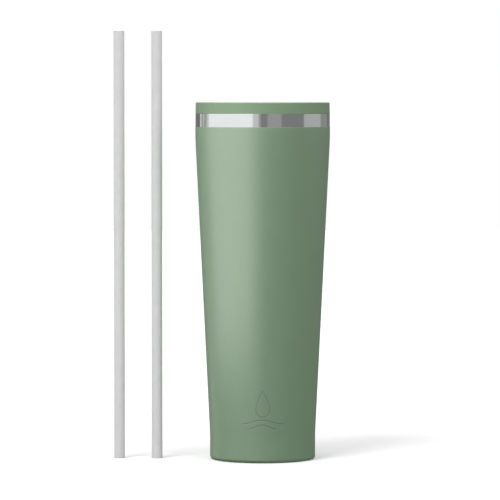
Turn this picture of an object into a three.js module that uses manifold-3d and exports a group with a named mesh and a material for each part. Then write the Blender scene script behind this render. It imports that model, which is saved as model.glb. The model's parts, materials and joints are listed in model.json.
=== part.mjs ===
// Insulated drinking tumbler: a double-walled vacuum cup, a press-in lid with a magnetic slider,
// and two loose drinking straws that stand beside the cup.
// Millimetres, +Z up. The origin is the centre of the base, on the surface that the cup stands on.
// The front of the cup, with the drinking opening above it, faces -Y.

import * as THREE from 'three';
import { mergeVertices } from 'three/addons/utils/BufferGeometryUtils.js';
import Module from 'manifold-3d';

const wasm = await Module();
wasm.setup();

// ---------------------------------------------------------------- driving dimensions

const HEIGHT = 230;              // from the table to the top of the lid
const TOP_RADIUS = 43.25;        // bare steel at the rim
const BASE_RADIUS = 33.83;       // bare steel at the foot
const LOWER_BEND_Z = 15.5;       // middle of the soft bend from the straight foot to the sloping wall
const UPPER_BEND_Z = 206.5;      // middle of the soft bend from the sloping wall to the straight rim
const BEND_REACH = 6;            // half of the height that each soft bend takes up

const SHEET = 0.5;               // stainless sheet of both walls
const COAT = 0.12;               // powder coat
const VACUUM_GAP = 2.6;
const RIM_Z = 222.75;            // top of the steel lip
const LIP_THICKNESS = 1;
const LIP_WIDTH = 1.8;
const LIP_CHAMFER = 0.35;
const COAT_TOP_Z = 214.2;        // the bare band lies between here and the lid

const FOOT_Z = 0.4;              // underside of the steel foot ring
const FOOT_CORNER = 1.8;
const FOOT_INNER_RADIUS = 30.8;
const PLATE_Z = 2.2;             // underside of the base plate's raised middle
const DIMPLE_RISE = 2;
const DIMPLE_RADIUS = 4;
const PUMP_HOLE_RADIUS = 0.6;
const PAD_RADIUS = 29.2;
const LINER_FLOOR_Z = 8;         // underside of the liner's floor
const LINER_CORNER = 8;
const GETTER_X = 16;
const GETTER_RADIUS = 4;

const LID_GAP = 0.15;            // between the steel lip and the lid's flange
const PLUG_RADIUS = 39;          // the part of the lid that goes into the mouth
const PLUG_BOTTOM_Z = 204;
const SKIRT_THICKNESS = 2.3;
const GROOVE_DEPTH = 1.2;
const GROOVE_LOW_Z = 207.4;
const GROOVE_HIGH_Z = 211.4;
const GASKET_FIN_RADIUS = 39.44;
const DECK_Z = 222;              // top of the sunken deck
const DECK_RADIUS = 37.2;
const DECK_THICKNESS = 3.2;
const RIM_INNER_RADIUS = 40.4;
const RIM_ROUND = 0.7;

const CHANNEL_DEPTH = 1;         // the channel that guides the slider
const CHANNEL_HALF_WIDTH = 11.5;
const CHANNEL_FRONT_RADIUS = 36.8;
const CHANNEL_REAR_Y = 17.5;
const OPENING_Y = -29.3;         // centre of the drinking opening
const OPENING_RADIUS = 4.4;
const OPENING_HALF_SPAN = 4;     // from its centre to the centre of each of its round ends
const VENT_Y = 30;
const VENT_RADIUS = 1.1;

const TRAVEL = 14;               // how far the slider moves between its two places
const SLIDER_LIFT = 0.15;        // running gap under the slider
const SLIDER_SIDE_GAP = 0.3;
const SLIDER_HEIGHT = 4.8;
const SLIDER_REAR_Y = 2.5;
const SLIDER_RECESS = 1.05;      // depth of the recesses under the slider
const SEAL_MARGIN = 1.2;         // how far the slider's seal reaches past the opening
const GRIP_Y = -6;
const GRIP_HALF_SPAN = 6.5;
const GRIP_RADIUS = 2.4;
const GRIP_HEIGHT = 2.6;

const MAGNET_RADIUS = 3;
const MAGNET_HEIGHT = 2;
const LID_MAGNET_YS = { lid_magnet_front: -4, lid_magnet_rear: -4 + TRAVEL };
const SLIDER_MAGNET_YS = { slider_magnet_front: -4 - TRAVEL, slider_magnet_rear: -4 };
const MAGNET_SKIN = 1.2;         // plastic between the channel's floor and the lid's magnets
const COVER_THICKNESS = 1.2;
const FIT = 0.1;                 // clearance of a piece in its recess

const STRAW_LENGTH = 276;
const STRAW_RADIUS = 3.5;
const STRAW_WALL = 0.7;
const STRAW_XS = { straw_left: -92.6, straw_right: -68.3 };
const STRAW_Y = 2.5;

const ROUND = 40;                // sides of a large round piece
const SMALL_ROUND = 20;          // sides of a small round piece

// ---------------------------------------------------------------- derived dimensions

const TAPER = (TOP_RADIUS - BASE_RADIUS) / (UPPER_BEND_Z - LOWER_BEND_Z);
const BEND_ZS = [LOWER_BEND_Z, UPPER_BEND_Z].flatMap((z) => [z - BEND_REACH, z, z + BEND_REACH]);
const LINER_INSET = SHEET + VACUUM_GAP;
const MOUTH_INSET = LINER_INSET + SHEET;
const WELD_Z = RIM_Z - LIP_THICKNESS;
const FLANGE_Z = RIM_Z + LID_GAP;
const DECK_UNDER_Z = DECK_Z - DECK_THICKNESS;
const CHANNEL_Z = DECK_Z - CHANNEL_DEPTH;
const LID_MAGNET_Z = CHANNEL_Z - MAGNET_SKIN - FIT - MAGNET_HEIGHT;
const BOSS_Z = LID_MAGNET_Z - FIT;

// ---------------------------------------------------------------- materials

const finish = (color, roughness, metalness, extra = {}) =>
  new THREE.MeshStandardMaterial({ color, roughness, metalness, ...extra });

const materials = {
  coat: finish(0x7c977a, 0.55, 0),
  steel: finish(0xc4c6c7, 0.22, 1),
  lidPlastic: finish(0x7c9979, 0.45, 0),
  silicone: finish(0xd9dbd8, 0.6, 0),
  pad: finish(0x4b5049, 0.8, 0),
  magnet: finish(0xb9bbbd, 0.25, 1),
  getter: finish(0x55585a, 0.9, 0.2),
  glassSolder: finish(0x3c4a46, 0.3, 0),
  straw: finish(0xd6d7d6, 0.35, 0, { transparent: true, opacity: 0.7 }),
};

// ---------------------------------------------------------------- shape helpers

const point = (r, z) => new THREE.Vector2(r, z);

// A body turned about the Z axis from an outline of radius and height. The outline runs upwards on
// the outside. It starts and ends on the axis, or is closed here where the body is a ring.
function turned(outline, sides = ROUND) {
  const isRing = outline[0].x > 0;
  const points = isRing ? [...outline, outline[0].clone()] : outline;
  return new THREE.LatheGeometry(points, sides).rotateX(Math.PI / 2);
}

function disc(radius, zLow, zHigh, x = 0, y = 0) {
  const outline = [point(0, zLow), point(radius, zLow), point(radius, zHigh), point(0, zHigh)];
  return turned(outline, SMALL_ROUND).translate(x, y, 0);
}

// A flat outline in XY raised from zLow to zHigh.
function raised(shape, zLow, zHigh) {
  const settings = { depth: zHigh - zLow, bevelEnabled: false, curveSegments: 8 };
  return new THREE.ExtrudeGeometry(shape, settings).translate(0, 0, zLow);
}

function rectangle(halfWidth, yLow, yHigh) {
  const corners = [point(-halfWidth, yLow), point(halfWidth, yLow), point(halfWidth, yHigh),
    point(-halfWidth, yHigh)];
  return new THREE.Shape(corners);
}

// An outline with two round ends on a line along X.
function roundEnded(halfSpan, radius, y) {
  const shape = new THREE.Shape();
  shape.absarc(halfSpan, y, radius, -Math.PI / 2, Math.PI / 2, false);
  shape.absarc(-halfSpan, y, radius, Math.PI / 2, 1.5 * Math.PI, false);
  return shape;
}

// The plan of the channel and of the slider in it: the front follows the round wall of the lid,
// the sides are straight, and the rear is square with rounded corners.
function trackPlan(halfWidth, frontRadius, rearY) {
  const corner = 3;
  const reach = Math.asin(halfWidth / frontRadius);
  const shape = new THREE.Shape();
  shape.absarc(0, 0, frontRadius, -Math.PI / 2 - reach, -Math.PI / 2 + reach, false);
  shape.absarc(halfWidth - corner, rearY - corner, corner, 0, Math.PI / 2, false);
  shape.absarc(corner - halfWidth, rearY - corner, corner, Math.PI / 2, Math.PI, false);
  return shape;
}

function solid(geometry) {
  const bare = geometry.clone().deleteAttribute('normal').deleteAttribute('uv');
  const merged = mergeVertices(bare, 1e-3);
  return new wasm.Manifold(new wasm.Mesh({
    numProp: 3,
    vertProperties: merged.attributes.position.array,
    triVerts: new Uint32Array(merged.index.array),
  }));
}

// Joins the geometries of the first list and cuts those of the second list away.
function carved(joined, cutters) {
  const whole = joined.map(solid).reduce((body, other) => body.add(other));
  const body = cutters.map(solid).reduce((left, cutter) => left.subtract(cutter), whole);
  const { vertProperties, triVerts } = body.getMesh();
  return new THREE.BufferGeometry()
    .setAttribute('position', new THREE.BufferAttribute(vertProperties, 3))
    .setIndex(new THREE.BufferAttribute(triVerts, 1));
}

function group() {
  const made = new THREE.Group();
  tumbler.add(made);
  return made;
}

function add(parent, name, geometry, material) {
  const mesh = new THREE.Mesh(geometry, material);
  mesh.name = name;
  parent.add(mesh);
  return mesh;
}

// ---------------------------------------------------------------- outlines of the cup

// Zero well below a bend and the height above it well past it, with a parabola in between.
function softRamp(height) {
  if (Math.abs(height) > BEND_REACH) return Math.max(height, 0);
  return (height + BEND_REACH) ** 2 / (4 * BEND_REACH);
}

// The radius of the bare steel at height z: a straight foot, a sloping wall and a straight rim.
const wallRadius = (z) =>
  BASE_RADIUS + TAPER * (softRamp(z - LOWER_BEND_Z) - softRamp(z - UPPER_BEND_Z));

// The wall's line from zStart up to zEnd, moved in by inset.
function wallLine(inset, zStart, zEnd) {
  const between = BEND_ZS.filter((z) => z > zStart && z < zEnd);
  return [zStart, ...between, zEnd].map((z) => point(wallRadius(z) - inset, z));
}

// The outside of the cup up to zEnd under a skin of the given thickness, from the inner edge of
// the foot ring round the foot's corner and up the wall.
function outsideLine(skin, zEnd) {
  const centre = BASE_RADIUS - FOOT_CORNER;
  const corner = new THREE.Path();
  corner.moveTo(FOOT_INNER_RADIUS, FOOT_Z - skin);
  corner.absarc(centre, FOOT_Z + FOOT_CORNER, FOOT_CORNER + skin, -Math.PI / 2, 0, false);
  return [...corner.getPoints(2), ...wallLine(-skin, FOOT_Z + FOOT_CORNER, zEnd).slice(1)];
}

// The liner's floor from the axis and its rounded corner, up to where its wall begins.
function linerFloor(inset, z) {
  const cornerZ = LINER_FLOOR_Z + LINER_CORNER;
  const radius = wallRadius(cornerZ) - inset;
  const start = point(radius - LINER_CORNER, z);
  const end = point(radius, cornerZ);
  const corner = new THREE.QuadraticBezierCurve(start, point(radius, z), end);
  return [point(0, z), ...corner.getPoints(3)];
}

// ---------------------------------------------------------------- the vacuum cup

function outerShell() {
  const inside = wallLine(SHEET, FOOT_Z + SHEET, WELD_Z).reverse();
  return turned([...outsideLine(0, WELD_Z), ...inside, point(FOOT_INNER_RADIUS, FOOT_Z + SHEET)]);
}

const powderCoat = () =>
  turned([...outsideLine(COAT, COAT_TOP_Z), ...outsideLine(0, COAT_TOP_Z).reverse()]);

// The liner is a deep cup. Its mouth flares out to a lip that is welded onto the outer shell.
function innerLiner() {
  const flareLow = UPPER_BEND_Z + BEND_REACH + 0.3;
  const flareHigh = WELD_Z - 0.8;
  const lipInner = TOP_RADIUS - LIP_WIDTH;
  const wallStart = LINER_FLOOR_Z + LINER_CORNER;
  const outside = [
    ...linerFloor(LINER_INSET, LINER_FLOOR_Z),
    ...wallLine(LINER_INSET, wallStart, flareLow).slice(1),
    point(lipInner + SHEET, flareHigh),
    point(lipInner + SHEET, WELD_Z),
    point(TOP_RADIUS, WELD_Z),
    point(TOP_RADIUS, RIM_Z - LIP_CHAMFER),
    point(TOP_RADIUS - LIP_CHAMFER, RIM_Z),
  ];
  const inside = [
    ...linerFloor(MOUTH_INSET, LINER_FLOOR_Z + SHEET),
    ...wallLine(MOUTH_INSET, wallStart, flareLow).slice(1),
    point(lipInner, flareHigh),
    point(lipInner, RIM_Z - LIP_CHAMFER),
    point(lipInner + LIP_CHAMFER, RIM_Z),
  ];
  return turned([...outside, ...inside.reverse()]);
}

// The pressed plate that closes the shell from below. Its centre is a dimple with a pumping hole.
function basePlate() {
  const ledge = FOOT_Z + SHEET;
  const underside = [
    point(PUMP_HOLE_RADIUS, PLATE_Z + DIMPLE_RISE),
    point(DIMPLE_RADIUS, PLATE_Z + DIMPLE_RISE),
    point(DIMPLE_RADIUS + DIMPLE_RISE, PLATE_Z),
    point(PAD_RADIUS + 0.5, PLATE_Z),
    point(FOOT_INNER_RADIUS - 0.3, ledge),
    point(BASE_RADIUS - SHEET - FIT, ledge),
  ];
  const topside = underside.map((p) => point(p.x, p.y + SHEET));
  return turned([...underside, ...topside.reverse()]);
}

// The bead of solder glass that fills the dimple and plugs the pumping hole.
function vacuumSeal() {
  const top = PLATE_Z + DIMPLE_RISE;
  const bead = DIMPLE_RADIUS - 0.8;
  const plug = PUMP_HOLE_RADIUS - FIT;
  return turned([point(0, top - 1.1), point(bead - 1, top - 1.1), point(bead, top - 0.5),
    point(bead, top), point(plug, top), point(plug, top + SHEET), point(0, top + SHEET)], SMALL_ROUND);
}

// The little tray on top of the base plate that holds the getter pill in the vacuum space.
function getterCup(zLow) {
  const wall = 0.4;
  const outer = GETTER_RADIUS + FIT + wall;
  const height = 2.4;
  return turned([point(0, zLow), point(outer, zLow), point(outer, zLow + height),
    point(outer - wall, zLow + height), point(outer - wall, zLow + wall), point(0, zLow + wall)],
  SMALL_ROUND).translate(GETTER_X, 0, 0);
}

function basePad() {
  const chamfer = 0.5;
  const top = PLATE_Z - FIT;
  return turned([point(0, 0), point(PAD_RADIUS - chamfer, 0), point(PAD_RADIUS, chamfer),
    point(PAD_RADIUS, top), point(0, top)]);
}

function makeCup() {
  const cup = group();
  const trayZ = PLATE_Z + SHEET;
  const pillZ = trayZ + 0.5;
  add(cup, 'outer_shell', outerShell(), materials.steel);
  add(cup, 'powder_coat', powderCoat(), materials.coat);
  add(cup, 'inner_liner', innerLiner(), materials.steel);
  add(cup, 'base_plate', basePlate(), materials.steel);
  add(cup, 'vacuum_seal', vacuumSeal(), materials.glassSolder);
  add(cup, 'getter_cup', getterCup(trayZ), materials.steel);
  add(cup, 'getter', disc(GETTER_RADIUS, pillZ, pillZ + 1.6, GETTER_X), materials.getter);
  add(cup, 'base_pad', basePad(), materials.pad);
}

// ---------------------------------------------------------------- the lid

// The turned blank of the lid: a rim round a sunken deck, and a hollow plug with a seal groove.
function lidBlank() {
  const skirtInner = PLUG_RADIUS - SKIRT_THICKNESS;
  const fillet = 1.5;
  const grooveRadius = PLUG_RADIUS - GROOVE_DEPTH;
  const shoulder = PLUG_RADIUS + 2;
  const rim = TOP_RADIUS - 0.15;
  const path = new THREE.Path();
  path.moveTo(0, DECK_UNDER_Z);
  path.lineTo(skirtInner - fillet, DECK_UNDER_Z);
  path.quadraticCurveTo(skirtInner, DECK_UNDER_Z, skirtInner, DECK_UNDER_Z - fillet);
  path.lineTo(skirtInner, PLUG_BOTTOM_Z);
  path.lineTo(PLUG_RADIUS - 0.7, PLUG_BOTTOM_Z);
  path.lineTo(PLUG_RADIUS, PLUG_BOTTOM_Z + 0.7);
  path.lineTo(PLUG_RADIUS, GROOVE_LOW_Z);
  path.lineTo(grooveRadius, GROOVE_LOW_Z);
  path.lineTo(grooveRadius, GROOVE_HIGH_Z);
  path.lineTo(PLUG_RADIUS, GROOVE_HIGH_Z);
  path.lineTo(PLUG_RADIUS, WELD_Z - 4);
  path.lineTo(shoulder, WELD_Z - 0.6);
  path.lineTo(shoulder, FLANGE_Z);
  path.lineTo(TOP_RADIUS, FLANGE_Z);
  path.lineTo(rim, HEIGHT - RIM_ROUND);
  path.quadraticCurveTo(rim, HEIGHT, rim - RIM_ROUND, HEIGHT);
  path.lineTo(RIM_INNER_RADIUS + RIM_ROUND, HEIGHT);
  path.quadraticCurveTo(RIM_INNER_RADIUS, HEIGHT, RIM_INNER_RADIUS, HEIGHT - RIM_ROUND);
  path.lineTo(DECK_RADIUS + fillet, DECK_Z + fillet);
  path.quadraticCurveTo(DECK_RADIUS + fillet, DECK_Z, DECK_RADIUS, DECK_Z);
  path.lineTo(0, DECK_Z);
  return turned(path.getPoints(2));
}

// The plan of the boss under the deck that holds the magnets, and of the cover that closes it.
function bossPlan() {
  const margin = MAGNET_RADIUS + 2;
  const { lid_magnet_front: front, lid_magnet_rear: rear } = LID_MAGNET_YS;
  return rectangle(margin + 1, front - margin, rear + margin);
}

function lidBody() {
  const overlap = 0.5;
  const through = [DECK_UNDER_Z - 1, DECK_Z + 1];
  const pocketTop = CHANNEL_Z - MAGNET_SKIN;
  return carved([
    lidBlank(),
    raised(bossPlan(), BOSS_Z, DECK_UNDER_Z + overlap),
  ], [
    raised(trackPlan(CHANNEL_HALF_WIDTH, CHANNEL_FRONT_RADIUS, CHANNEL_REAR_Y), CHANNEL_Z, DECK_Z + 1),
    raised(roundEnded(OPENING_HALF_SPAN, OPENING_RADIUS, OPENING_Y), ...through),
    disc(VENT_RADIUS, ...through, 0, VENT_Y),
    ...Object.values(LID_MAGNET_YS).map((y) => disc(MAGNET_RADIUS + FIT, BOSS_Z - 1, pocketTop, 0, y)),
  ]);
}

// The seal ring has two soft fins that press on the liner in use. They are drawn just clear of it.
function lidGasket() {
  const finHalf = 0.65;
  const back = PLUG_RADIUS - GROOVE_DEPTH + FIT;
  const web = PLUG_RADIUS - 0.3;
  const low = GROOVE_LOW_Z + FIT;
  const high = GROOVE_HIGH_Z - FIT;
  return turned([point(back, low), point(web, low), point(GASKET_FIN_RADIUS, low + finHalf),
    point(web, low + 2 * finHalf), point(web, high - 2 * finHalf),
    point(GASKET_FIN_RADIUS, high - finHalf), point(web, high), point(back, high)]);
}

function makeLid() {
  const lid = group();
  const coverTop = BOSS_Z - FIT;
  add(lid, 'lid_body', lidBody(), materials.lidPlastic);
  add(lid, 'lid_gasket', lidGasket(), materials.silicone);
  add(lid, 'magnet_cover', raised(bossPlan(), coverTop - COVER_THICKNESS, coverTop), materials.lidPlastic);
  for (const [name, y] of Object.entries(LID_MAGNET_YS)) {
    add(lid, name, disc(MAGNET_RADIUS, 0, MAGNET_HEIGHT), materials.magnet).position.set(0, y, LID_MAGNET_Z);
  }
}

// ---------------------------------------------------------------- the slider

// Heights in this section are above the underside of the slider, which its group lifts into place.

const SEAL_DROP = 0.1;           // how far the seal stands out below the slider
const sealPlan = (margin) => roundEnded(OPENING_HALF_SPAN, OPENING_RADIUS + margin, OPENING_Y);

// The plate that closes the magnets' pockets from below, and the recess it sits in.
function magnetPlatePlan(margin) {
  const reach = MAGNET_RADIUS + 1.2 + margin;
  const { slider_magnet_front: front, slider_magnet_rear: rear } = SLIDER_MAGNET_YS;
  return rectangle(reach + 4.5, front - reach, rear + reach);
}

// The cap carries a thumb ridge on top, and is hollowed from below for its magnets and its seal.
function sliderCap() {
  const halfWidth = CHANNEL_HALF_WIDTH - SLIDER_SIDE_GAP;
  const frontRadius = CHANNEL_FRONT_RADIUS - SLIDER_SIDE_GAP;
  const pocketTop = SLIDER_RECESS + MAGNET_HEIGHT + 2 * FIT;
  return carved([
    raised(trackPlan(halfWidth, frontRadius, SLIDER_REAR_Y), 0, SLIDER_HEIGHT),
    raised(roundEnded(GRIP_HALF_SPAN, GRIP_RADIUS, GRIP_Y), SLIDER_HEIGHT - 1, SLIDER_HEIGHT + GRIP_HEIGHT),
  ], [
    raised(sealPlan(SEAL_MARGIN + FIT), -1, SLIDER_RECESS),
    raised(magnetPlatePlan(FIT), -1, SLIDER_RECESS),
    ...Object.values(SLIDER_MAGNET_YS).map((y) => disc(MAGNET_RADIUS + FIT, 0, pocketTop, 0, y)),
  ]);
}

function makeSlider() {
  const slider = group();
  slider.position.z = CHANNEL_Z + SLIDER_LIFT;
  add(slider, 'slider_cap', sliderCap(), materials.lidPlastic);
  add(slider, 'slider_base', raised(magnetPlatePlan(0), 0, SLIDER_RECESS - FIT), materials.lidPlastic);
  add(slider, 'slider_seal', raised(sealPlan(SEAL_MARGIN), -SEAL_DROP, SLIDER_RECESS - FIT), materials.silicone);
  for (const [name, y] of Object.entries(SLIDER_MAGNET_YS)) {
    const magnet = add(slider, name, disc(MAGNET_RADIUS, 0, MAGNET_HEIGHT), materials.magnet);
    magnet.position.set(0, y, SLIDER_RECESS + FIT);
  }
}

// ---------------------------------------------------------------- the straws

function makeStraws() {
  const straws = group();
  const bore = STRAW_RADIUS - STRAW_WALL;
  const outline = [point(bore, 0), point(STRAW_RADIUS, 0), point(STRAW_RADIUS, STRAW_LENGTH),
    point(bore, STRAW_LENGTH)];
  for (const [name, x] of Object.entries(STRAW_XS)) {
    add(straws, name, turned(outline, SMALL_ROUND), materials.straw).position.set(x, STRAW_Y, 0);
  }
}

const tumbler = new THREE.Group();
makeCup();
makeLid();
makeSlider();
makeStraws();

export default tumbler;
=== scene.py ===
"""The looks of an insulated tumbler with its lid and two straws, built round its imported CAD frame.

Outlines are written in millimetres, as on the part's drawing, and meshes are made in metres. The
cup's axis is the Z axis, it stands on the plane z = 0, and its front faces -Y.
"""

import json
import math

import bpy
import numpy as np
from mathutils import Matrix, Vector


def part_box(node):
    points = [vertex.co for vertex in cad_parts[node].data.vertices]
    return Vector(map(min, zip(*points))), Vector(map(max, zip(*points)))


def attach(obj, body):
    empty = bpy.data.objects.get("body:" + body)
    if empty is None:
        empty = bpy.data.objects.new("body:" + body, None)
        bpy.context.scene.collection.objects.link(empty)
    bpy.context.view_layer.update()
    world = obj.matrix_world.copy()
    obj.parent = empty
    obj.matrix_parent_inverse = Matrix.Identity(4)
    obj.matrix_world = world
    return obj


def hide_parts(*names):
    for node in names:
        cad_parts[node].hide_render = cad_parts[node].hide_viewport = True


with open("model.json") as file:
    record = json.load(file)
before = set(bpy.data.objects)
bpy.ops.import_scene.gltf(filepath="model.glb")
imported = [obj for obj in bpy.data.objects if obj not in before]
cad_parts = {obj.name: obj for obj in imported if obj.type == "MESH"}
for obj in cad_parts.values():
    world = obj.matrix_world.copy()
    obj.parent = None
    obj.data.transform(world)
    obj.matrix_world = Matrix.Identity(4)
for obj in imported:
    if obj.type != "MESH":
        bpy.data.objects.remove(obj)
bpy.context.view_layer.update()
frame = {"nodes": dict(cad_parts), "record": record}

MM = 0.001

# ---------------------------------------------------------------- dimensions, in millimetres

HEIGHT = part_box("lid_body")[1].z / MM
TOP_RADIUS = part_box("inner_liner")[1].x / MM     # bare steel at the rim
BASE_RADIUS = 33.83                              # bare steel at the foot
COAT = 0.12                                      # thickness of the powder coat
LOWER_BEND_Z = 15.5
UPPER_BEND_Z = 206.5
BEND_REACH = 6                                   # how far a bend runs on both sides of its height
TAPER = (TOP_RADIUS - BASE_RADIUS) / (UPPER_BEND_Z - LOWER_BEND_Z)
SHEET = 0.5                                      # thickness of the steel
LINER_INSET = 3.1                                # from the bare outside to the liner's outer face
RIM_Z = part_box("inner_liner")[1].z / MM
WELD_Z = RIM_Z - 1
COAT_TOP_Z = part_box("powder_coat")[1].z / MM
FOOT_Z = 0.4
FOOT_CORNER = 1.8
FOOT_INNER_RADIUS = 30.8
PLATE_Z = 2.2
PAD_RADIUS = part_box("base_pad")[1].x / MM
LINER_FLOOR_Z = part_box("inner_liner")[0].z / MM
LINER_CORNER = 8

FLANGE_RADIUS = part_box("lid_body")[1].x / MM
PLUG_RADIUS = 39
PLUG_BOTTOM_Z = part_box("lid_body")[0].z / MM
SKIRT_INNER_RADIUS = PLUG_RADIUS - 2.3
GROOVE_RADIUS = PLUG_RADIUS - 1.2
GROOVE_ZS = (207.4, 211.4)
DECK_Z = 222
DECK_UNDER_Z = 218.8
DECK_RADIUS = 37.2
RIM_INNER_RADIUS = 40.4
CHANNEL_Z = 221
CHANNEL_HALF_WIDTH = 11.5
CHANNEL_FRONT_RADIUS = 36.8
CHANNEL_REAR_Y = 17.5
OPENING_Y = -29.3
OPENING_RADIUS = 4.4
OPENING_HALF_SPAN = 4
VENT_Y = 30
VENT_RADIUS = 1.1
MAGNET_RADIUS = 3
MAGNET_YS = (-4, 10)

SLIDER_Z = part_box("slider_cap")[0].z / MM
SLIDER_TOP_Z = SLIDER_Z + 4.8
SLIDER_HALF_WIDTH = 11.2
SLIDER_FRONT_RADIUS = 36.5
SLIDER_REAR_Y = 2.5
SLIDER_MAGNET_YS = (-18, -4)
SLIDER_BASE_HALF_WIDTH = 8.7
SLIDER_BASE_YS = (-22.2, 0.2)
SEAL_MARGIN = 1.2                                # of the seal round the drinking opening
RECESS_GAP = 0.1                                 # round the pieces let into the slider
GRIP_TOP_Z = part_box("slider_cap")[1].z / MM
GRIP_Y = -6
GRIP_HALF_SPAN = 6.5
GRIP_RADIUS = 2.4

SIDES = 192                                      # sides of a large round piece
BEND_STEPS = 8

# ---------------------------------------------------------------- mesh building


def add_object(name, data):
    """A new object in the scene, made from its mesh, light or camera data."""
    added = bpy.data.objects.new(name, data)
    bpy.context.scene.collection.objects.link(added)
    return added


def smooth(piece, sharp_angle=32):
    """Smooth shading that keeps edges sharper than the angle, with flat faces left flat."""
    piece.data.shade_smooth()
    piece.data.set_sharp_from_angle(angle=math.radians(sharp_angle))
    weighted = piece.modifiers.new("flat_faces_stay_flat", "WEIGHTED_NORMAL")
    weighted.keep_sharp = True


def new_piece(name, points, faces):
    """A mesh object from points in millimetres."""
    mesh = bpy.data.meshes.new(name)
    mesh.from_pydata((np.asarray(points, float) * MM).tolist(), [], faces)
    mesh.validate()
    return add_object(name, mesh)


def even_angles(sides):
    """Angles in radians that share a full turn evenly."""
    return np.arange(sides) * 2 * math.pi / sides


def turned(name, outline, angles=None, relief=None):
    """A body turned about Z from an outline of (radius, height), anticlockwise round the material.

    It starts and ends on the axis, or closes on itself where it is a ring. relief, if given, is
    added to the radius of each point from its angle and height, and kept as an attribute.
    """
    angles = even_angles(SIDES) if angles is None else angles
    count = len(angles)
    points, rows, moves = [], [], []
    for radius, z in outline:
        first = len(points)
        if radius == 0:
            points.append((0, 0, z))
            rows.append([first] * count)
            continue
        moved = relief(angles, radius, z) if relief else np.zeros(count)
        radii = radius + moved
        points += zip(radii * np.cos(angles), radii * np.sin(angles), np.full(count, z))
        moves.append(moved)
        rows.append(list(range(first, first + count)))
    pairs = list(zip(rows, rows[1:]))
    if outline[0][0] > 0:
        pairs.append((rows[-1], rows[0]))
    faces = []
    for low, high in pairs:
        for i in range(count):
            j = (i + 1) % count
            corners = (low[i], low[j], high[j], high[i])
            faces.append(list(dict.fromkeys(corners)))
    piece = new_piece(name, points, faces)
    if relief:
        attribute = piece.data.attributes.new("relief", "FLOAT", "POINT")
        attribute.data.foreach_set("value", np.concatenate(moves))
    return piece


def stacked(name, plan, levels, centre=(0, 0)):
    """A body whose cross-section is plan(offset) at each level of (offset, height), bottom first.

    plan(offset) gives the points of an outline in XY, anticlockwise, moved out by the offset.
    """
    points, faces = [], []
    count = len(plan(0))
    for offset, z in levels:
        points += [(x + centre[0], y + centre[1], z) for x, y in plan(offset)]
    for level in range(len(levels) - 1):
        for i in range(count):
            j = (i + 1) % count
            low, high = level * count, (level + 1) * count
            faces.append((low + i, low + j, high + j, high + i))
    faces.append(tuple(reversed(range(count))))
    faces.append(tuple(range(len(points) - count, len(points))))
    return new_piece(name, points, faces)


def arc(x, y, radius, start, end, steps=8):
    """Points on an arc, its angles in degrees."""
    return [(x + radius * math.cos(math.radians(a)), y + radius * math.sin(math.radians(a)))
            for a in np.linspace(start, end, steps + 1)]


def rounded(corners, steps=5):
    """The line through corners of (x, y, reach), each corner rounded over its reach on both sides."""
    line = []
    for i, (x, y, reach) in enumerate(corners):
        corner = Vector((x, y))
        if reach == 0 or i in (0, len(corners) - 1):
            line.append((x, y))
            continue
        before = corner + (Vector(corners[i - 1][:2]) - corner).normalized() * reach
        after = corner + (Vector(corners[i + 1][:2]) - corner).normalized() * reach
        for t in np.linspace(0, 1, steps + 1):
            line.append(tuple((1 - t) ** 2 * before + 2 * t * (1 - t) * corner + t * t * after))
    return line


def round_edges(low, high, fillet, steps=5):
    """Levels for stacked() of a plate from low to high with rounded edges."""
    quarter = [math.radians(a) for a in np.linspace(0, 90, steps + 1)]
    bottom = [(fillet * (math.sin(a) - 1), low + fillet * (1 - math.cos(a))) for a in quarter]
    top = [(fillet * (math.cos(a) - 1), high - fillet * (1 - math.sin(a))) for a in quarter]
    return bottom + top


def boolean(piece, operation, others):
    """Joins the others to the piece or cuts them from it, and takes them out of the scene."""
    for other in others:
        step = piece.modifiers.new(operation.lower(), "BOOLEAN")
        step.operation = operation
        step.object = other
        step.solver = "EXACT"
    graph = bpy.context.evaluated_depsgraph_get()
    result = bpy.data.meshes.new_from_object(piece.evaluated_get(graph))
    piece.modifiers.clear()
    piece.data = result
    result.name = piece.name
    for other in others:
        bpy.data.objects.remove(other)
    return piece


# ---------------------------------------------------------------- outlines


def soft_ramp(height):
    """Zero well below a bend and the height above it well past it, with a parabola in between."""
    if abs(height) > BEND_REACH:
        return max(height, 0)
    return (height + BEND_REACH) ** 2 / (4 * BEND_REACH)


def wall_radius(z):
    """The radius of the bare steel: a straight foot, a sloping wall and a straight rim."""
    return BASE_RADIUS + TAPER * (soft_ramp(z - LOWER_BEND_Z) - soft_ramp(z - UPPER_BEND_Z))


def wall_line(inset, start, end, extra=()):
    """The wall's line of (radius, height) moved in by inset, with points close together in its bends."""
    bends = [bend + BEND_REACH * t for bend in (LOWER_BEND_Z, UPPER_BEND_Z)
             for t in np.linspace(-1, 1, BEND_STEPS + 1)]
    inner = sorted(z for z in {*bends, *extra} if start < z < end)
    return [(wall_radius(z) - inset, z) for z in [start, *inner, end]]


def outside_line(skin, end, extra=()):
    """The outside under a skin: from the foot ring's inner edge, round the foot's corner and up."""
    corner = arc(BASE_RADIUS - FOOT_CORNER, FOOT_Z + FOOT_CORNER, FOOT_CORNER + skin, -90, 0)
    return [(FOOT_INNER_RADIUS, FOOT_Z - skin), *corner,
            *wall_line(-skin, FOOT_Z + FOOT_CORNER, end, extra)[1:]]


def round_ended(half_span, radius):
    """The plan of a bar with two round ends on a line along X, for stacked()."""
    return lambda offset: (arc(half_span, 0, radius + offset, -90, 90, 16)
                           + arc(-half_span, 0, radius + offset, 90, 270, 16))


def round_plan(radius, sides=48):
    """The plan of a circle, for stacked()."""
    return lambda offset: arc(0, 0, radius + offset, 0, 360 - 360 / sides, sides - 1)


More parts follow.
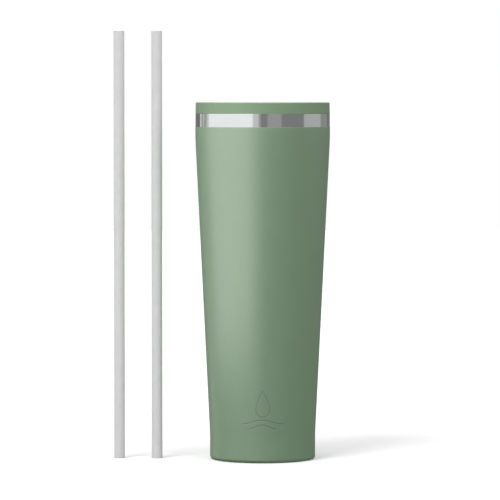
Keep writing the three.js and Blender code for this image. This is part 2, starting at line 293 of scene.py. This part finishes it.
def track_plan(half_width, front_radius, rear_y):
    """The plan of the slider's channel: a front that follows the lid's round wall, and a square rear."""
    corner = 3

    def plan(offset):
        half = half_width + offset
        front = front_radius + offset
        reach = math.degrees(math.asin(half / front))
        rounding = corner + offset
        return (arc(0, 0, front, -90 - reach, -90 + reach, 16)
                + arc(half_width - corner, rear_y - corner, rounding, 0, 90)
                + arc(corner - half_width, rear_y - corner, rounding, 90, 180))

    return plan


def block_plan(half_width, low_y, high_y, corner=0.6):
    """The plan of a rectangle with slightly rounded corners."""
    def plan(offset):
        ends = ((half_width - corner, low_y + corner, -90), (half_width - corner, high_y - corner, 0),
                (corner - half_width, high_y - corner, 90), (corner - half_width, low_y + corner, 180))
        return [p for x, y, start in ends for p in arc(x, y, corner + offset, start, start + 90, 4)]

    return plan


# ---------------------------------------------------------------- the mark pressed into the coat

MARK_Z = 34.5                    # height of the middle of the mark
MARK_HALF_WIDTH = 16
MARK_HALF_HEIGHT = 13
MARK_DEPTH = 0.1                 # less than the coat's thickness, so that no steel shows
MARK_LINE = 0.5                  # half of the width of its lines
MARK_SHADE_TONE = 0.45                 # of the colour at the bottom of its lines: painted shade in the grooves
MARK_PITCH = 0.2                 # distance between the mesh's points there
FRONT = -math.pi / 2             # angle of the cup's front round the Z axis


def mark_strokes():
    """A plain drop over two ripples, as points of (across, up) from the middle of the mark."""
    turn = np.linspace(0, 2 * math.pi, 160)
    drop = np.column_stack((6.2 * np.sin(turn) * np.sin(turn / 2) ** 1.5, 3.6 + 8.6 * np.cos(turn)))
    strokes = [drop]
    for half_width, depth in ((13.5, 8.2), (8.5, 11.2)):
        across = np.linspace(-half_width, half_width, 120)
        up = 1.3 * np.cos(across / half_width * math.pi) - depth
        strokes.append(np.column_stack((across, up)))
    return np.concatenate(strokes)


STROKES = mark_strokes()


def mark_relief(angles, radius, z):
    """How far the surface moves out at each angle: a smooth groove along the mark's strokes."""
    up = z - MARK_Z
    moved = np.zeros(len(angles))
    if abs(up) > MARK_HALF_HEIGHT:
        return moved
    across = (angles - FRONT) * radius
    near = np.abs(across) < MARK_HALF_WIDTH
    gaps = np.hypot(across[near, None] - STROKES[:, 0], up - STROKES[:, 1]).min(axis=1)
    inside = np.clip(1 - gaps / MARK_LINE, 0, 1)
    moved[near] = -MARK_DEPTH * inside ** 2 * (3 - 2 * inside)
    return moved


def mark_angles():
    """Angles round the cup, close together over the mark and even elsewhere."""
    half = MARK_HALF_WIDTH / BASE_RADIUS
    fine = np.arange(-half, half, MARK_PITCH / BASE_RADIUS)
    rest = np.linspace(half, 2 * math.pi - half, 110, endpoint=False)
    return FRONT + np.concatenate((fine, rest))


# ---------------------------------------------------------------- the cup


def powder_coat():
    """The coat over the shell, with the mark pressed in and a soft upper edge."""
    lip = 0.08
    heights = np.arange(MARK_Z - MARK_HALF_HEIGHT, MARK_Z + MARK_HALF_HEIGHT, MARK_PITCH)
    outside = outside_line(COAT, COAT_TOP_Z - lip, heights)
    edge = arc(TOP_RADIUS + COAT - lip, COAT_TOP_Z - lip, lip, 20, 90, 3)
    inside = outside_line(0, COAT_TOP_Z)[::-1]

    def relief(angles, radius, z):
        on_the_outside = radius > wall_radius(z) + COAT / 2
        return mark_relief(angles, radius, z) if on_the_outside else 0 * angles

    return turned("powder_coat_skin", [*outside, *edge, *inside], mark_angles(), relief)


def outer_shell():
    """The outer wall, from the ring it stands on up to the weld under the rim."""
    inside = wall_line(SHEET, FOOT_Z + SHEET, WELD_Z)[::-1]
    outline = [*outside_line(0, WELD_Z), *inside, (FOOT_INNER_RADIUS, FOOT_Z + SHEET)]
    return turned("steel_shell", outline)


def liner_face(inset, floor_z, end):
    """One face of the liner's sheet, from the axis along the floor, round its corner and up."""
    corner_z = LINER_FLOOR_Z + LINER_CORNER
    radius = wall_radius(corner_z) - inset
    floor = rounded([(0, floor_z, 0), (radius, floor_z, LINER_CORNER), (radius, corner_z, 0)], steps=12)
    return [*floor[:-1], *wall_line(inset, corner_z, end)[1:]]


def inner_liner():
    """The inner wall, flared at the top into the lip that is welded to the outer shell."""
    flare_z = UPPER_BEND_Z + BEND_REACH + 0.3
    neck_z = WELD_Z - 0.8
    bore = TOP_RADIUS - 1.8
    outside = liner_face(LINER_INSET, LINER_FLOOR_Z, flare_z)
    inside = liner_face(LINER_INSET + SHEET, LINER_FLOOR_Z + SHEET, flare_z)
    lip = rounded([
        (*outside[-1], 0), (bore + SHEET, neck_z, 0.4), (bore + SHEET, WELD_Z, 0),
        (TOP_RADIUS, WELD_Z, 0), (TOP_RADIUS, RIM_Z, 0.1), (bore, RIM_Z, 0.4),
        (bore, neck_z, 0.4), (*inside[-1], 0),
    ])
    return turned("steel_liner", [*outside, *lip[1:], *inside[::-1][1:]])


def base_plate():
    """The disc that closes the shell, with a raised middle round its pumping hole."""
    hole_radius = 0.6
    middle_z = PLATE_Z + 2
    ledge_z = FOOT_Z + SHEET
    underside = rounded([
        (hole_radius, middle_z, 0), (4, middle_z, 0.8), (6, PLATE_Z, 0.8),
        (PAD_RADIUS + 0.5, PLATE_Z, 0.3), (FOOT_INNER_RADIUS - 0.3, ledge_z, 0.3),
        (BASE_RADIUS - SHEET - 0.1, ledge_z, 0),
    ])
    topside = [(r, z + SHEET) for r, z in underside]
    return turned("steel_base_plate", [*underside, *topside[::-1]])


def base_pad():
    """A disc with a rounded edge and three shallow rings moulded into its underside."""
    groove_z = 0.35
    top_z = PLATE_Z - 0.1
    ease = 0.25
    corners = [(0, 0, 0)]
    for radius in (9, 16, 23):
        corners += [(radius - 0.8, 0, ease), (radius - 0.4, groove_z, ease),
                    (radius + 0.4, groove_z, ease), (radius + 0.8, 0, ease)]
    corners += [(PAD_RADIUS, 0, 0.5), (PAD_RADIUS, top_z, 0.2), (0, top_z, 0)]
    return turned("rubber_pad", rounded(corners, 4))


# ---------------------------------------------------------------- the lid


def lid_blank():
    """The lid's turned body: a hollow plug with a groove, a flange over the rim and a sunken deck."""
    shoulder = PLUG_RADIUS + 2
    flange_z = RIM_Z + 0.05
    rim = FLANGE_RADIUS - 0.15
    low, high = GROOVE_ZS
    corners = [
        (0, DECK_UNDER_Z, 0), (SKIRT_INNER_RADIUS, DECK_UNDER_Z, 1.5),
        (SKIRT_INNER_RADIUS, PLUG_BOTTOM_Z, 0.5), (PLUG_RADIUS, PLUG_BOTTOM_Z, 0.8),
        (PLUG_RADIUS, low, 0.15), (GROOVE_RADIUS, low, 0.15), (GROOVE_RADIUS, high, 0.15),
        (PLUG_RADIUS, high, 0.15), (PLUG_RADIUS, WELD_Z - 4, 0.8), (shoulder, WELD_Z - 0.6, 0.3),
        (shoulder, flange_z, 0.2), (FLANGE_RADIUS, flange_z, 0.1), (rim, HEIGHT, 0.8),
        (RIM_INNER_RADIUS, HEIGHT, 0.8), (DECK_RADIUS + 1.6, DECK_Z + 1.5, 0.4),
        (DECK_RADIUS + 1, DECK_Z, 1), (0, DECK_Z, 0),
    ]
    return turned("lid_shell", rounded(corners, 6))


def boss_plan():
    """The plan of the block under the deck that holds the lid's magnets, and of its cover."""
    margin = MAGNET_RADIUS + 2
    return block_plan(margin + 1, MAGNET_YS[0] - margin, MAGNET_YS[1] + margin)


def chamfered_hole(name, plan, low, high, centre):
    """A cutter for a hole from low to high with a small chamfer at both of its mouths."""
    chamfer = 0.35
    past = 1
    levels = [(chamfer + past, low - past), (0, low + chamfer), (0, high - chamfer),
              (chamfer + past, high + past)]
    return stacked(name, plan, levels, centre)


def magnet_pockets(places, low, high):
    """Cutters for round pockets that are slightly wider than their magnets."""
    plan = round_plan(MAGNET_RADIUS + 0.1)
    return [stacked("pocket", plan, [(0, low), (0, high)], (0, y)) for y in places]


def lid_shell():
    """The lid's body with its boss, slider channel, drinking opening, vent and magnet pockets."""
    boss_z = DECK_UNDER_Z - 1.5
    channel = track_plan(CHANNEL_HALF_WIDTH, CHANNEL_FRONT_RADIUS, CHANNEL_REAR_Y)
    opening = round_ended(OPENING_HALF_SPAN, OPENING_RADIUS)
    lid = lid_blank()
    boss = stacked("boss", boss_plan(), round_edges(boss_z, DECK_UNDER_Z + 0.8, 0.3))
    boolean(lid, "UNION", [boss])
    cutters = [
        stacked("channel", channel, [(0, CHANNEL_Z), (0, DECK_Z - 0.3), (1.3, DECK_Z + 1)]),
        chamfered_hole("opening", opening, DECK_UNDER_Z, CHANNEL_Z, (0, OPENING_Y)),
        chamfered_hole("vent", round_plan(VENT_RADIUS), DECK_UNDER_Z, DECK_Z, (0, VENT_Y)),
    ]
    cutters += magnet_pockets(MAGNET_YS, boss_z - 1, CHANNEL_Z - 1.2)
    return boolean(lid, "DIFFERENCE", cutters)


def lid_gasket():
    """A ring in the plug's groove, with two fins that reach out to the liner."""
    back = GROOVE_RADIUS + 0.1
    web = PLUG_RADIUS - 0.3
    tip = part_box("lid_gasket")[1].x / MM
    low = GROOVE_ZS[0] + 0.1
    high = GROOVE_ZS[1] - 0.1
    fin = 1.3
    corners = [
        (web, low, 0), (tip, low + fin / 2, 0.3), (web, low + fin, 0.25),
        (web, high - fin, 0.25), (tip, high - fin / 2, 0.3), (web, high, 0),
        (back, high, 0), (back, low, 0),
    ]
    return turned("silicone_ring", rounded(corners, 5))


def magnet_cover():
    low, high = (corner.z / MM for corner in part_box("magnet_cover"))
    return stacked("magnet_cover_plate", boss_plan(), round_edges(low, high, 0.3))


# ---------------------------------------------------------------- the slider


def seal_plan(gap=0):
    """The plan of the seal under the slider, or of its recess where a gap is given."""
    return round_ended(OPENING_HALF_SPAN, OPENING_RADIUS + SEAL_MARGIN + gap)


def slider_base_plan(gap=0):
    """The plan of the plate under the slider, or of its recess where a gap is given."""
    low_y, high_y = SLIDER_BASE_YS
    return block_plan(SLIDER_BASE_HALF_WIDTH + gap, low_y - gap, high_y + gap)


def thumb_ridge():
    """A ridge with round ends that flares into the slider's top and is rounded above."""
    flare = 0.9
    crown = 1.2
    quarter = np.radians(np.linspace(0, 90, 6))
    levels = [(flare, SLIDER_TOP_Z - 0.5)]
    levels += [(flare * (1 - math.sin(a)), SLIDER_TOP_Z + flare * (1 - math.cos(a))) for a in quarter]
    levels += [(crown * (math.cos(a) - 1), GRIP_TOP_Z - crown * (1 - math.sin(a))) for a in quarter]
    return stacked("ridge", round_ended(GRIP_HALF_SPAN, GRIP_RADIUS), levels, (0, GRIP_Y))


def slider_cap():
    """The sliding cap: a plate with rounded edges and a thumb ridge, hollowed from below."""
    plan = track_plan(SLIDER_HALF_WIDTH, SLIDER_FRONT_RADIUS, SLIDER_REAR_Y)
    cap = stacked("slider_body", plan, round_edges(SLIDER_Z, SLIDER_TOP_Z, 0.7))
    boolean(cap, "UNION", [thumb_ridge()])
    recess_z = SLIDER_Z + 1.05
    recess = [(0, SLIDER_Z - 1), (0, recess_z)]
    cutters = [
        stacked("seal_recess", seal_plan(RECESS_GAP), recess, (0, OPENING_Y)),
        stacked("base_recess", slider_base_plan(RECESS_GAP), recess),
        *magnet_pockets(SLIDER_MAGNET_YS, recess_z - 0.5, recess_z + 2.2),
    ]
    return boolean(cap, "DIFFERENCE", cutters)


def slider_seal():
    low, high = (corner.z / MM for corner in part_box("slider_seal"))
    return stacked("slider_seal_pad", seal_plan(), round_edges(low, high, 0.3), (0, OPENING_Y))


def slider_base():
    low, high = (corner.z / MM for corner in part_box("slider_base"))
    return stacked("slider_base_plate", slider_base_plan(), round_edges(low, high, 0.2))


# ---------------------------------------------------------------- the straws


def straw(node):
    """A tube with eased ends that fills the CAD node's box."""
    low, high = (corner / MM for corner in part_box(node))
    radius = (high.x - low.x) / 2
    bore = radius - 0.7
    ease = 0.2
    corners = [
        (bore, low.z + 1, 0), (bore, low.z, ease), (radius, low.z, ease),
        (radius, high.z, ease), (bore, high.z, ease), (bore, high.z - 1, 0),
    ]
    piece = turned(f"{node}_tube", rounded(corners, 4), even_angles(48))
    middle = (low + high) / 2 * MM
    piece.data.transform(Matrix.Translation((middle.x, middle.y, 0)))
    return piece


# ---------------------------------------------------------------- materials

COAT_GREEN = (0.101, 0.225, 0.088)
LID_GREEN = (0.13, 0.245, 0.113)


class Surface:
    """A material made of one Principled shader with procedural detail in its node tree."""

    def __init__(self, material_name, **values):
        self.material = bpy.data.materials.new(material_name)
        self.material.use_nodes = True
        self.nodes = self.material.node_tree.nodes
        self.links = self.material.node_tree.links
        self.shader = self.nodes["Principled BSDF"]
        self.place = self.nodes.new("ShaderNodeTexCoord").outputs["Object"]
        self.normal = None
        for name, value in values.items():
            socket = name.replace("_", " ").title().replace("Ior", "IOR")
            self.shader.inputs[socket].default_value = value

    def noise(self, size, stretch=(1, 1, 1), detail=3, roughness=0.5):
        """Noise with grains of the given size in millimetres, stretched along the axes."""
        mapping = self.nodes.new("ShaderNodeMapping")
        mapping.inputs["Scale"].default_value = [1 / s for s in stretch]
        texture = self.nodes.new("ShaderNodeTexNoise")
        texture.inputs["Scale"].default_value = 1 / (size * MM)
        texture.inputs["Detail"].default_value = detail
        texture.inputs["Roughness"].default_value = roughness
        self.links.new(self.place, mapping.inputs["Vector"])
        self.links.new(mapping.outputs["Vector"], texture.inputs["Vector"])
        return texture.outputs["Fac"]

    def spread(self, source, low, high):
        """The source, which mostly lies between 0.3 and 0.7, spread over low to high."""
        node = self.nodes.new("ShaderNodeMapRange")
        for socket, value in (("From Min", 0.3), ("From Max", 0.7), ("To Min", low), ("To Max", high)):
            node.inputs[socket].default_value = value
        self.links.new(source, node.inputs["Value"])
        return node.outputs["Result"]

    def colour(self, source, dark, light):
        """Colour that varies from dark to light with the source."""
        node = self.nodes.new("ShaderNodeMix")
        node.data_type = "RGBA"
        factor, first, second, result = node.inputs[0], node.inputs[6], node.inputs[7], node.outputs[2]
        first.default_value = (*dark, 1)
        second.default_value = (*light, 1)
        self.links.new(self.spread(source, 0, 1), factor)
        self.links.new(result, self.shader.inputs["Base Color"])

    def paint_shade_in_relief(self, depth, tone):
        """Paints shade into grooves: scales the colour down to the tone where the mesh's relief is as
        low as the depth.
        """
        relief = self.nodes.new("ShaderNodeAttribute")
        relief.attribute_name = "relief"
        level = self.nodes.new("ShaderNodeMapRange")
        for socket, value in (("From Min", -depth), ("From Max", 0), ("To Min", tone), ("To Max", 1)):
            level.inputs[socket].default_value = value
        scale = self.nodes.new("ShaderNodeVectorMath")
        scale.operation = "SCALE"
        colour = self.shader.inputs["Base Color"]
        self.links.new(relief.outputs["Fac"], level.inputs["Value"])
        self.links.new(colour.links[0].from_socket, scale.inputs[0])
        self.links.new(level.outputs["Result"], scale.inputs["Scale"])
        self.links.new(scale.outputs["Vector"], colour)

    def roughness(self, source, low, high):
        """Roughness that varies from low to high with the source."""
        self.links.new(self.spread(source, low, high), self.shader.inputs["Roughness"])

    def bump(self, source, depth):
        """Relief of the given depth in millimetres. A second call adds to the first."""
        node = self.nodes.new("ShaderNodeBump")
        node.inputs["Distance"].default_value = depth * MM
        self.links.new(source, node.inputs["Height"])
        if self.normal:
            self.links.new(self.normal, node.inputs["Normal"])
        self.normal = node.outputs["Normal"]
        self.links.new(self.normal, self.shader.inputs["Normal"])


def shade(colour, factor):
    """The colour, darker or lighter by the factor."""
    return tuple(channel * factor for channel in colour)


def powder_coat_finish():
    """Satin powder coat: orange peel with finer grit in it, a faint unevenness of tone, and painted
    shade in the mark's grooves.
    """
    surface = Surface("powder_coat_green", ior=2.1, specular_ior_level=1.0)
    surface.colour(surface.noise(9, detail=4), shade(COAT_GREEN, 0.97), shade(COAT_GREEN, 1.03))
    # painted shade: the colour gets darker towards the bottom of the mark's grooves
    surface.paint_shade_in_relief(MARK_DEPTH, MARK_SHADE_TONE)
    surface.roughness(surface.noise(2.5), 0.43, 0.48)
    surface.bump(surface.noise(0.9, detail=2), 0.012)
    surface.bump(surface.noise(0.22, detail=2), 0.004)
    return surface.material


def steel_finish():
    """Polished stainless steel with fine grain turned round the axis."""
    surface = Surface("polished_steel", metallic=1.0, anisotropic=0.3)
    surface.colour(surface.noise(14, (1, 1, 0.05)), (0.585, 0.605, 0.592), (0.615, 0.637, 0.623))
    surface.roughness(surface.noise(6, (1, 1, 0.02)), 0.07, 0.12)
    surface.bump(surface.noise(4, (4, 4, 0.012)), 0.0006)
    return surface.material


def lightened_satin_steel_finish():
    """The inside of the liner, much duller than the band, with faint turned grain, and coloured lighter
    than the band's steel as painted light in the deep, dark inside.
    """
    surface = Surface("satin_steel", metallic=1.0)
    # painted light: lighter than the band's steel, to brighten the deep inside of the cup
    surface.colour(surface.noise(9, (1, 1, 0.1)), (0.68, 0.69, 0.684), (0.76, 0.77, 0.764))
    surface.roughness(surface.noise(5, (1, 1, 0.05)), 0.6, 0.7)
    surface.bump(surface.noise(3, (4, 4, 0.02)), 0.002)
    return surface.material


def lid_plastic_finish():
    """Moulded plastic with a fine spark-eroded texture."""
    surface = Surface("lid_plastic_green", ior=1.75, specular_ior_level=1.0)
    surface.colour(surface.noise(12), shade(LID_GREEN, 0.98), shade(LID_GREEN, 1.03))
    surface.roughness(surface.noise(3), 0.52, 0.6)
    surface.bump(surface.noise(0.3, detail=2), 0.004)
    return surface.material


def silicone_finish():
    """Milky silicone with a dull, slightly dusty skin."""
    surface = Surface("silicone_milky", ior=1.41, subsurface_weight=0.35,
                      subsurface_radius=(1, 1, 1), subsurface_scale=0.002)
    surface.colour(surface.noise(3), (0.66, 0.68, 0.65), (0.74, 0.76, 0.73))
    surface.roughness(surface.noise(0.8), 0.5, 0.68)
    surface.bump(surface.noise(0.35), 0.006)
    return surface.material


def rubber_finish():
    """Dark rubber, matt and finely pitted, with scuffs from the table."""
    surface = Surface("pad_rubber", ior=1.5, specular_ior_level=0.3)
    scuffs = surface.noise(5, detail=6, roughness=0.7)
    surface.colour(scuffs, (0.045, 0.052, 0.046), (0.075, 0.084, 0.076))
    surface.roughness(surface.noise(2), 0.68, 0.85)
    surface.bump(surface.noise(0.4, detail=4), 0.02)
    return surface.material


def metal_finish(name, dark, light, roughness, grain):
    """A plated or sintered metal for the small parts inside."""
    surface = Surface(name, metallic=1.0)
    surface.colour(surface.noise(1.5), dark, light)
    surface.roughness(surface.noise(0.8), *roughness)
    surface.bump(surface.noise(grain, detail=5), 0.004)
    return surface.material


def glass_solder_finish():
    """The dark, shiny bead of glass that seals the pumping hole."""
    surface = Surface("dark_glass_solder", ior=1.6)
    surface.colour(surface.noise(0.8), (0.03, 0.045, 0.04), (0.06, 0.08, 0.07))
    surface.roughness(surface.noise(0.6), 0.12, 0.3)
    surface.bump(surface.noise(0.7), 0.03)
    return surface.material


def straw_finish():
    """Frosted translucent plastic with faint lines drawn along it by the extruder."""
    surface = Surface("straw_frosted", ior=1.49, specular_ior_level=0.3, transmission_weight=0.15,
                      sheen_weight=0.5, sheen_roughness=0.5)
    surface.colour(surface.noise(6), (0.71, 0.713, 0.71), (0.75, 0.753, 0.75))
    surface.roughness(surface.noise(1.2, (1, 1, 12)), 0.45, 0.58)
    surface.bump(surface.noise(0.35, (1, 1, 60), detail=2), 0.006)
    return surface.material


MATERIALS = {
    "powder_coat": powder_coat_finish(),
    "steel": steel_finish(),
    "lid_plastic": lid_plastic_finish(),
    "silicone": silicone_finish(),
    "base_pad": rubber_finish(),
    "magnet": metal_finish("magnet_nickel", (0.5, 0.5, 0.5), (0.62, 0.61, 0.6), (0.15, 0.3), 0.8),
    "getter": metal_finish("getter_sinter", (0.07, 0.07, 0.075), (0.14, 0.14, 0.145), (0.7, 0.9), 0.15),
    "glass_solder": glass_solder_finish(),
    "straw": straw_finish(),
}

# ---------------------------------------------------------------- assembly


def fit(piece, body, slot, *nodes):
    """Gives a piece its material and its place in the assembly, instead of the CAD nodes."""
    piece.data.materials.clear()
    piece.data.materials.append(MATERIALS[slot])
    smooth(piece)
    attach(piece, body)
    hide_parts(*nodes)


def dull_the_inside(liner):
    """Gives every face of the liner below its polished lip the satin material, which is coloured lighter
    than the band as painted light.
    """
    liner.data.materials.append(lightened_satin_steel_finish())
    lip_z = (WELD_Z - 1) * MM
    for face in liner.data.polygons:
        face.material_index = int(face.center.z < lip_z)


def assemble():
    """Builds every visible piece in the place of its CAD node."""
    fit(powder_coat(), "cup", "powder_coat", "powder_coat")
    fit(outer_shell(), "cup", "steel", "outer_shell")
    liner = inner_liner()
    fit(liner, "cup", "steel", "inner_liner")
    dull_the_inside(liner)
    fit(base_plate(), "cup", "steel", "base_plate")
    fit(base_pad(), "cup", "base_pad", "base_pad")
    fit(lid_shell(), "lid", "lid_plastic", "lid_body")
    fit(lid_gasket(), "lid", "silicone", "lid_gasket")
    fit(magnet_cover(), "lid", "lid_plastic", "magnet_cover")
    fit(slider_cap(), "slider", "lid_plastic", "slider_cap")
    fit(slider_base(), "slider", "lid_plastic", "slider_base")
    fit(slider_seal(), "slider", "silicone", "slider_seal")
    for node in ("straw_left", "straw_right"):
        fit(straw(node), node, "straw", node)


def finish_hidden_nodes():
    """Gives the small CAD nodes that stay, inside the walls and the lid, their materials."""
    slots = {entry["node"]: entry["material_slot"] for entry in frame["record"]["subparts"]}
    for name, node in frame["nodes"].items():
        if not node.hide_render:
            node.data.materials.clear()
            node.data.materials.append(MATERIALS[slots[name]])


# ---------------------------------------------------------------- stage, light and camera, in metres

FLOOR_REACH = 4000               # millimetres from the axis to the floor's edges
FLOOR_TONE = 0.4                 # of the floor in the light that it throws back
FLOOR_TONE_SEEN = 0.95           # of the floor in the picture
AMBIENT = 0.86                   # radiance of the white room on matt surfaces
ROOM_REFLECTION = 0.22           # radiance of the dim room in reflections
CAMERA_PLACE = Vector((-0.00815, -2.25, HEIGHT * MM))
CAMERA_PITCH = 2.423             # degrees down from level
SENSOR_WIDTH = 36                # millimetres
FOCAL_LENGTH = 251.3             # millimetres


def floor_material():
    """A matt white floor, which throws less light back on the object than the camera sees."""
    material = bpy.data.materials.new("floor_white")
    material.use_nodes = True
    nodes, links = material.node_tree.nodes, material.node_tree.links
    shader = nodes["Principled BSDF"]
    shader.inputs["Roughness"].default_value = 0.9
    shader.inputs["Specular IOR Level"].default_value = 0
    tone = nodes.new("ShaderNodeMapRange")
    tone.inputs["To Min"].default_value = FLOOR_TONE
    tone.inputs["To Max"].default_value = FLOOR_TONE_SEEN
    links.new(nodes.new("ShaderNodeLightPath").outputs["Is Camera Ray"], tone.inputs["Value"])
    links.new(tone.outputs["Result"], shader.inputs["Base Color"])
    return material


def make_floor():
    """A large floor that doesn't show in reflections."""
    corners = [(x * FLOOR_REACH, y * FLOOR_REACH, 0) for x, y in ((-1, -1), (1, -1), (1, 1), (-1, 1))]
    floor = new_piece("floor", corners, [(0, 1, 2, 3)])
    floor.data.materials.append(floor_material())
    floor.visible_glossy = False


def make_world():
    """A white backdrop, an even light for matt surfaces, and a dim room for reflections."""
    world = bpy.data.worlds.new("studio")
    bpy.context.scene.world = world
    world.use_nodes = True
    world.cycles.sampling_method = "NONE"     # a lamp's sampling can't tell the kinds of ray apart
    nodes, links = world.node_tree.nodes, world.node_tree.links
    path = nodes.new("ShaderNodeLightPath")
    total = nodes["Background"].inputs["Strength"]
    for ray, value in (("Is Camera Ray", 1.0), ("Is Diffuse Ray", AMBIENT),
                       ("Is Glossy Ray", ROOM_REFLECTION), ("Is Transmission Ray", AMBIENT)):
        share = nodes.new("ShaderNodeMath")
        share.operation = "MULTIPLY_ADD"
        share.inputs[1].default_value = value
        share.inputs[2].default_value = 0
        links.new(path.outputs[ray], share.inputs[0])
        links.new(share.outputs["Value"], total)
        total = share.inputs[2]
    nodes["Background"].inputs["Color"].default_value = (1, 1, 1, 1)


def towards(bearing):
    """The level unit vector at a bearing in degrees, from the front towards the right."""
    return Vector((math.sin(math.radians(bearing)), -math.cos(math.radians(bearing)), 0))


def mirrored_place(bearing, facing, distance):
    """Where on an upright plane the ray that the band mirrors towards a bearing lands.

    The camera is far in front. The plane faces the axis from its own bearing, at the distance, and
    the place is counted along it from the point nearest the axis, towards larger bearings.
    """
    start = towards(bearing / 2) * TOP_RADIUS * MM
    travel = (distance - start.dot(towards(facing))) / towards(bearing).dot(towards(facing))
    return (start + towards(bearing) * travel).dot(towards(facing + 90))


def distant_light(name, bearing, elevation, width, irradiance):
    """A distant soft light on matt surfaces only, with its direction and its width in degrees."""
    light = bpy.data.lights.new(name, "SUN")
    light.angle = math.radians(width)
    light.energy = irradiance
    lamp = add_object(name, light)
    lamp.rotation_euler = (math.radians(90 - elevation), 0, math.radians(bearing))
    lamp.visible_glossy = False


def glossy_panel(name, width, height, radiance):
    """A flat lamp that shows in glossy surfaces only, and faces down until it is turned."""
    light = bpy.data.lights.new(name, "AREA")
    light.shape = "RECTANGLE"
    light.size = width
    light.size_y = height
    light.energy = radiance * math.pi * light.size * light.size_y
    panel = add_object(name, light)
    panel.visible_camera = False
    panel.visible_diffuse = False
    panel.visible_transmission = False
    return panel


def softbox(name, start, end, radiance, low=-0.3, high=1.5, distance=0.75):
    """An upright panel that the steel band mirrors from one bearing to another, in degrees."""
    facing = (start + end) / 2
    left, right = (mirrored_place(edge, facing, distance) for edge in (start, end))
    panel = glossy_panel(name, right - left, high - low, radiance)
    centre = towards(facing) * distance + towards(facing + 90) * (left + right) / 2
    panel.location = (centre.x, centre.y, (low + high) / 2)
    panel.rotation_euler = (math.radians(90), 0, math.radians(facing))


def overhead_softbox(size, height, radiance):
    """A level panel above the cup, which lights the inside of the liner when the lid is off."""
    panel = glossy_panel("overhead_panel", size, size, radiance)
    panel.location = (0, 0, height)


def make_lights():
    """Two soft lights for matt surfaces, and the panels that the steel and the coat reflect."""
    distant_light("key_light", bearing=-34, elevation=51, width=24, irradiance=1.3)
    distant_light("fill_light", bearing=35, elevation=30, width=60, irradiance=0.5)
    overhead_softbox(size=1.6, height=1.2, radiance=2.5)
    softbox("key_panel_far", -120, -3, 0.25)
    softbox("key_panel_middle", -118, -7, 0.34, low=0.046, high=0.6, distance=0.15)
    softbox("key_panel_near", -106, -17, 0.48, low=0.046, high=0.6, distance=0.15)
    softbox("left_edge_strip", -136, -121, 0.8)
    softbox("front_panel", 8, 32, 0.16, low=0, high=0.6)
    softbox("front_strip", -2, 75, 0.08, low=0.18, high=0.27)
    softbox("right_strip", 75, 118, 0.38, low=0.18, high=0.27)
    softbox("right_edge_strip", 118, 144, 0.14, low=0.18, high=0.27)


def make_camera():
    """A long lens at the height of the lid's top, aimed slightly down."""
    camera = add_object("camera", bpy.data.cameras.new("camera"))
    camera.data.sensor_width = SENSOR_WIDTH
    camera.data.lens = FOCAL_LENGTH
    camera.location = CAMERA_PLACE
    camera.rotation_euler = (math.radians(90 - CAMERA_PITCH), 0, 0)
    bpy.context.scene.camera = camera


assemble()
finish_hidden_nodes()
make_floor()
make_world()
make_lights()
make_camera()
bpy.context.scene.view_settings.view_transform = "Standard"
